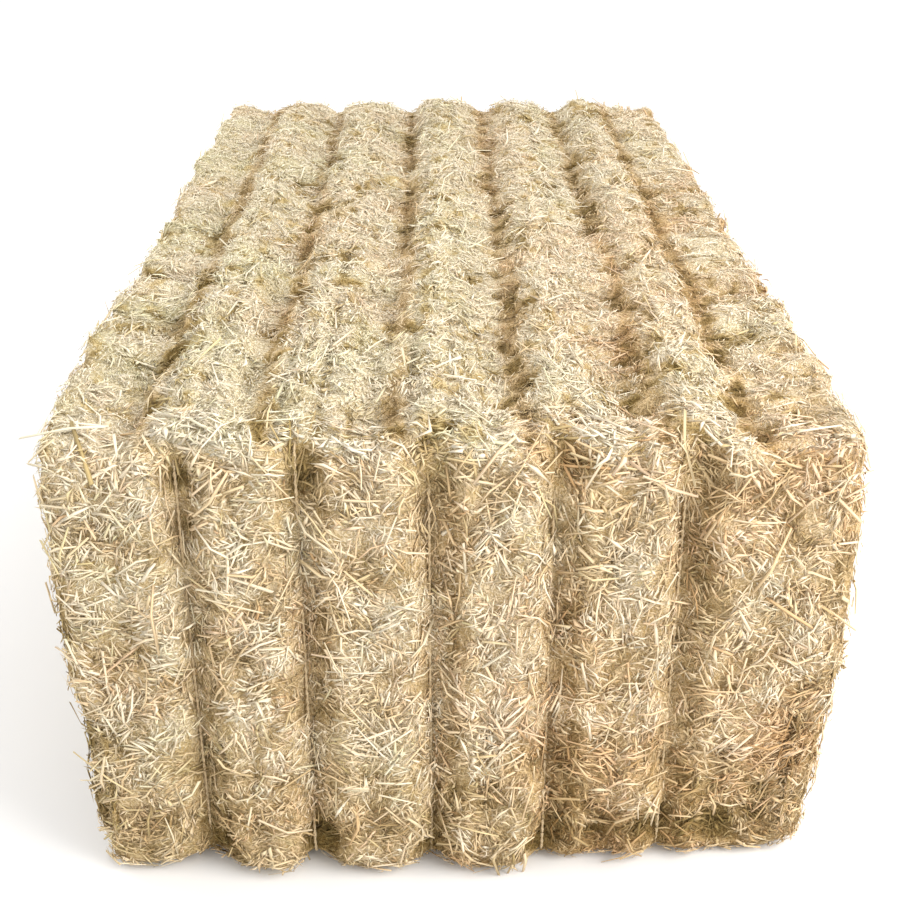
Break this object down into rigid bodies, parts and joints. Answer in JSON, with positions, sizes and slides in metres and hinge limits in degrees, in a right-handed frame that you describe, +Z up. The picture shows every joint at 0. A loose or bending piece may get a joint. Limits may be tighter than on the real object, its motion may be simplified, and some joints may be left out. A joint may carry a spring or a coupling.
{
  "type": "square straw bale",
  "caption": "Large square bale of pressed straw flakes, tied lengthwise with twines, for bedding, barriers, seating or stacking.",
  "frame": {"origin": "on the floor, under the middle of the bale's bounds", "axes": "+Z up, Y along the bale with its tied front end at -Y, +X to its right as seen from the front end"},
  "size_m": [1.2654, 2.2388, 0.831],
  "materials": {
    "straw": "matt, with slightly glossy stalks",
    "twine": "matt, twisted"
  },
  "bodies": {
    "root": {"flake_01": "straw", "flake_02": "straw", "flake_03": "straw", "flake_04": "straw", "flake_05": "straw", "flake_06": "straw", "flake_07": "straw", "flake_08": "straw", "flake_09": "straw", "flake_10": "straw", "flake_11": "straw", "flake_12": "straw", "flake_13": "straw", "flake_14": "straw", "flake_15": "straw", "flake_16": "straw", "flake_17": "straw", "flake_18": "straw", "flake_19": "straw", "flake_20": "straw", "twine_1": "twine", "twine_2": "twine", "twine_3": "twine", "twine_4": "twine", "twine_5": "twine"}
  },
  "joints": []
}
